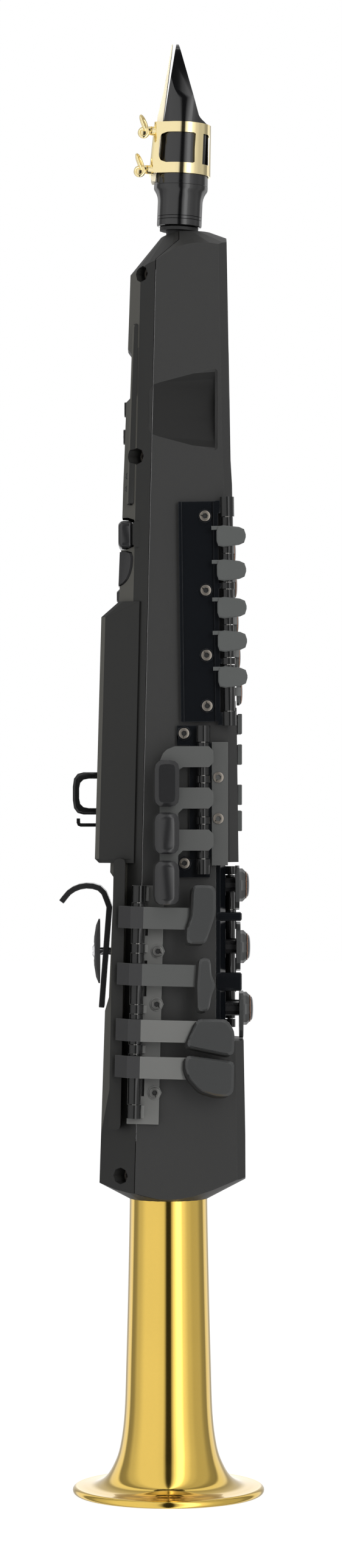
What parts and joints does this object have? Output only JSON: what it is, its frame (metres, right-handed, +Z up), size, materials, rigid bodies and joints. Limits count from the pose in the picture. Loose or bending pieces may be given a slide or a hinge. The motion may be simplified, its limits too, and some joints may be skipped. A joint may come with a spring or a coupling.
{
  "type": "digital wind controller",
  "caption": "Straight electronic wind controller with saxophone keys, single-reed mouthpiece and flared bell; fingers and breath play it, and it stands on its bell.",
  "frame": {"origin": "on the bell's axis at the plane of its foot", "axes": "+Z up along the body to the mouthpiece, +X to the front with the finger keys, -X to the player, -Y the player's right"},
  "size_m": [0.0986, 0.0924, 0.6998],
  "materials": {
    "housing": "fine matte moulding",
    "plates": "gloss black lacquer",
    "keys": "satin black lacquer",
    "touches": "gloss black lacquer",
    "rods": "ground",
    "bell": "clear lacquered",
    "ligature": "polished",
    "mouthpiece": "polished",
    "reed": "bare cane",
    "cork": "bare",
    "pad": "matte",
    "chrome": "polished",
    "steel": "satin",
    "window": "polished",
    "buttons": "matte",
    "board": "solder mask",
    "cells": "shrink film",
    "driver": "matte"
  },
  "bodies": {
    "instrument": {"front_housing": "housing", "rear_housing": "housing", "thumb_rest": "housing", "left_stack_plate": "plates", "side_key_plate": "plates", "lower_key_plate": "plates", "right_stack_plate": "plates", "table_key_plate": "plates", "palm_key_plate": "plates", "left_stack_rod": "rods", "side_key_rod": "rods", "lower_key_rod": "rods", "right_stack_rod": "rods", "table_key_rod": "rods", "bell": "bell", "neck_cork": "cork", "thumb_hook_pad": "pad", "neck_tube": "steel", "strap_ring": "steel", "cable_hook": "steel", "display_window": "window", "main_board": "board", "battery_pack": "cells", "vibration_driver": "driver"},
    "g_key": {"g_key": "keys"},
    "a_key": {"a_key": "keys"},
    "bis_key": {"bis_key": "keys"},
    "b_key": {"b_key": "keys"},
    "front_f_key": {"front_f_key": "keys"},
    "side_b_flat_key": {"side_b_flat_key": "touches"},
    "side_c_key": {"side_c_key": "touches"},
    "high_e_key": {"high_e_key": "touches"},
    "low_c_key": {"low_c_key": "touches"},
    "low_e_flat_key": {"low_e_flat_key": "touches"},
    "side_f_sharp_key": {"side_f_sharp_key": "touches"},
    "high_f_sharp_key": {"high_f_sharp_key": "touches"},
    "d_key": {"d_key": "keys"},
    "e_key": {"e_key": "keys"},
    "f_key": {"f_key": "keys"},
    "low_b_flat_key": {"low_b_flat_key": "keys"},
    "low_b_key": {"low_b_key": "keys"},
    "low_c_sharp_key": {"low_c_sharp_key": "keys"},
    "g_sharp_key": {"g_sharp_key": "keys"},
    "high_d_key": {"high_d_key": "touches"},
    "high_e_flat_key": {"high_e_flat_key": "touches"},
    "high_f_key": {"high_f_key": "touches"},
    "octave_key": {"octave_key": "housing"},
    "analog_controller": {"analog_controller": "buttons"},
    "volume_up_button": {"volume_up_button": "buttons"},
    "volume_down_button": {"volume_down_button": "buttons"},
    "function_button_upper": {"function_button_upper": "buttons"},
    "function_button_lower": {"function_button_lower": "buttons"},
    "battery_door": {"battery_door": "housing"},
    "thumb_hook": {"thumb_hook": "touches"},
    "thumb_hook_screw": {"thumb_hook_screw": "chrome"},
    "mouthpiece_set": {"mouthpiece": "mouthpiece", "reed": "reed", "ligature": "ligature"},
    "ligature_screw_lower": {"ligature_screw_lower": "ligature"},
    "ligature_screw_upper": {"ligature_screw_upper": "ligature"}
  },
  "joints": [
    {"name": "g_key_hinge", "type": "hinge", "parent": "instrument", "child": "g_key", "pos_m": [0.0292, -0.0255, 0.3723], "axis": [-0.0124, 0, 0.9999], "range_deg": [0, 3], "stiffness_Nm_per_rad": 0.5},
    {"name": "a_key_hinge", "type": "hinge", "parent": "instrument", "child": "a_key", "pos_m": [0.0292, -0.0255, 0.3723], "axis": [-0.0124, 0, 0.9999], "range_deg": [0, 3], "stiffness_Nm_per_rad": 0.5},
    {"name": "bis_key_hinge", "type": "hinge", "parent": "instrument", "child": "bis_key", "pos_m": [0.0292, -0.0255, 0.3723], "axis": [-0.0124, 0, 0.9999], "range_deg": [0, 3], "stiffness_Nm_per_rad": 0.5},
    {"name": "b_key_hinge", "type": "hinge", "parent": "instrument", "child": "b_key", "pos_m": [0.0292, -0.0255, 0.3723], "axis": [-0.0124, 0, 0.9999], "range_deg": [0, 3], "stiffness_Nm_per_rad": 0.5},
    {"name": "front_f_key_hinge", "type": "hinge", "parent": "instrument", "child": "front_f_key", "pos_m": [0.0292, -0.0255, 0.3723], "axis": [-0.0124, 0, 0.9999], "range_deg": [0, 3], "stiffness_Nm_per_rad": 0.5},
    {"name": "side_b_flat_key_hinge", "type": "hinge", "parent": "instrument", "child": "side_b_flat_key", "pos_m": [0.0166, -0.0275, 0.33], "axis": [0, 0, 1], "range_deg": [-5, 0], "stiffness_Nm_per_rad": 0.4},
    {"name": "side_c_key_hinge", "type": "hinge", "parent": "instrument", "child": "side_c_key", "pos_m": [0.0166, -0.0275, 0.33], "axis": [0, 0, 1], "range_deg": [-5, 0], "stiffness_Nm_per_rad": 0.4},
    {"name": "high_e_key_hinge", "type": "hinge", "parent": "instrument", "child": "high_e_key", "pos_m": [0.0166, -0.0275, 0.33], "axis": [0, 0, 1], "range_deg": [-5, 0], "stiffness_Nm_per_rad": 0.4},
    {"name": "low_c_key_hinge", "type": "hinge", "parent": "instrument", "child": "low_c_key", "pos_m": [-0.0166, -0.027, 0.18], "axis": [0.0237, 0, 0.9997], "range_deg": [0, 4], "stiffness_Nm_per_rad": 0.6},
    {"name": "low_e_flat_key_hinge", "type": "hinge", "parent": "instrument", "child": "low_e_flat_key", "pos_m": [-0.0166, -0.027, 0.18], "axis": [0.0237, 0, 0.9997], "range_deg": [0, 4], "stiffness_Nm_per_rad": 0.6},
    {"name": "side_f_sharp_key_hinge", "type": "hinge", "parent": "instrument", "child": "side_f_sharp_key", "pos_m": [-0.0166, -0.027, 0.18], "axis": [0.0237, 0, 0.9997], "range_deg": [0, 4], "stiffness_Nm_per_rad": 0.6},
    {"name": "high_f_sharp_key_hinge", "type": "hinge", "parent": "instrument", "child": "high_f_sharp_key", "pos_m": [-0.0166, -0.027, 0.18], "axis": [0.0237, 0, 0.9997], "range_deg": [0, 4], "stiffness_Nm_per_rad": 0.6},
    {"name": "d_key_hinge", "type": "hinge", "parent": "instrument", "child": "d_key", "pos_m": [0.03, 0.017, 0.26], "axis": [0, 0, 1], "range_deg": [-5, 0], "stiffness_Nm_per_rad": 0.4},
    {"name": "e_key_hinge", "type": "hinge", "parent": "instrument", "child": "e_key", "pos_m": [0.03, 0.017, 0.26], "axis": [0, 0, 1], "range_deg": [-5, 0], "stiffness_Nm_per_rad": 0.4},
    {"name": "f_key_hinge", "type": "hinge", "parent": "instrument", "child": "f_key", "pos_m": [0.03, 0.017, 0.26], "axis": [0, 0, 1], "range_deg": [-5, 0], "stiffness_Nm_per_rad": 0.4},
    {"name": "low_b_flat_key_hinge", "type": "hinge", "parent": "instrument", "child": "low_b_flat_key", "pos_m": [0.03, 0.0255, 0.35], "axis": [0, 0, 1], "range_deg": [-3, 0], "stiffness_Nm_per_rad": 0.5},
    {"name": "low_b_key_hinge", "type": "hinge", "parent": "instrument", "child": "low_b_key", "pos_m": [0.03, 0.0255, 0.35], "axis": [0, 0, 1], "range_deg": [-3, 0], "stiffness_Nm_per_rad": 0.5},
    {"name": "low_c_sharp_key_hinge", "type": "hinge", "parent": "instrument", "child": "low_c_sharp_key", "pos_m": [0.03, 0.0255, 0.35], "axis": [0, 0, 1], "range_deg": [-3, 0], "stiffness_Nm_per_rad": 0.5},
    {"name": "g_sharp_key_hinge", "type": "hinge", "parent": "instrument", "child": "g_sharp_key", "pos_m": [0.03, 0.0255, 0.35], "axis": [0, 0, 1], "range_deg": [-3, 0], "stiffness_Nm_per_rad": 0.5},
    {"name": "high_d_key_hinge", "type": "hinge", "parent": "instrument", "child": "high_d_key", "pos_m": [0.009, 0.027, 0.52], "axis": [0, 0, 1], "range_deg": [-5, 0], "stiffness_Nm_per_rad": 0.4},
    {"name": "high_e_flat_key_hinge", "type": "hinge", "parent": "instrument", "child": "high_e_flat_key", "pos_m": [0.009, 0.027, 0.52], "axis": [0, 0, 1], "range_deg": [-5, 0], "stiffness_Nm_per_rad": 0.4},
    {"name": "high_f_key_hinge", "type": "hinge", "parent": "instrument", "child": "high_f_key", "pos_m": [0.009, 0.027, 0.52], "axis": [0, 0, 1], "range_deg": [-5, 0], "stiffness_Nm_per_rad": 0.4},
    {"name": "octave_key_hinge", "type": "hinge", "parent": "instrument", "child": "octave_key", "pos_m": [-0.019, 0, 0.468], "axis": [0, 1, 0], "range_deg": [-3, 0], "stiffness_Nm_per_rad": 0.2},
    {"name": "analog_controller_hinge", "type": "hinge", "parent": "instrument", "child": "analog_controller", "pos_m": [-0.0165, 0, 0.4328], "axis": [0, 1, 0], "range_deg": [-5, 5], "stiffness_Nm_per_rad": 0.05},
    {"name": "volume_up_button_press", "type": "slide", "parent": "instrument", "child": "volume_up_button", "axis": [1, 0, 0], "range_m": [0, 0.0005], "stiffness_N_per_m": 2000},
    {"name": "volume_down_button_press", "type": "slide", "parent": "instrument", "child": "volume_down_button", "axis": [1, 0, 0], "range_m": [0, 0.0005], "stiffness_N_per_m": 2000},
    {"name": "function_button_upper_press", "type": "slide", "parent": "instrument", "child": "function_button_upper", "axis": [0.7815, 0.6239, 0], "range_m": [0, 0.0004], "stiffness_N_per_m": 1500},
    {"name": "function_button_lower_press", "type": "slide", "parent": "instrument", "child": "function_button_lower", "axis": [0.7815, 0.6239, 0], "range_m": [0, 0.0004], "stiffness_N_per_m": 1500},
    {"name": "battery_door_slide", "type": "slide", "parent": "instrument", "child": "battery_door", "axis": [-1, 0, 0], "range_m": [0, 0.012]},
    {"name": "thumb_hook_slide", "type": "slide", "parent": "instrument", "child": "thumb_hook", "axis": [0.0761, 0, 0.9971], "range_m": [-0.003, 0.003]},
    {"name": "thumb_hook_screw_turn", "type": "hinge", "parent": "instrument", "child": "thumb_hook_screw", "pos_m": [-0.03, 0, 0.2617], "axis": [1, 0, 0], "continuous": true},
    {"name": "mouthpiece_slide", "type": "slide", "parent": "instrument", "child": "mouthpiece_set", "axis": [0.0436, 0, 0.999], "range_m": [0, 0.008]},
    {"name": "ligature_screw_lower_turn", "type": "hinge", "parent": "mouthpiece_set", "child": "ligature_screw_lower", "pos_m": [-0.01072, -0.00793, 0.63821], "axis": [-0.9054, -0.4226, 0.0395], "continuous": true},
    {"name": "ligature_screw_upper_turn", "type": "hinge", "parent": "mouthpiece_set", "child": "ligature_screw_upper", "pos_m": [-0.00875, -0.00739, 0.65695], "axis": [-0.9054, -0.4226, 0.0395], "continuous": true}
  ]
}
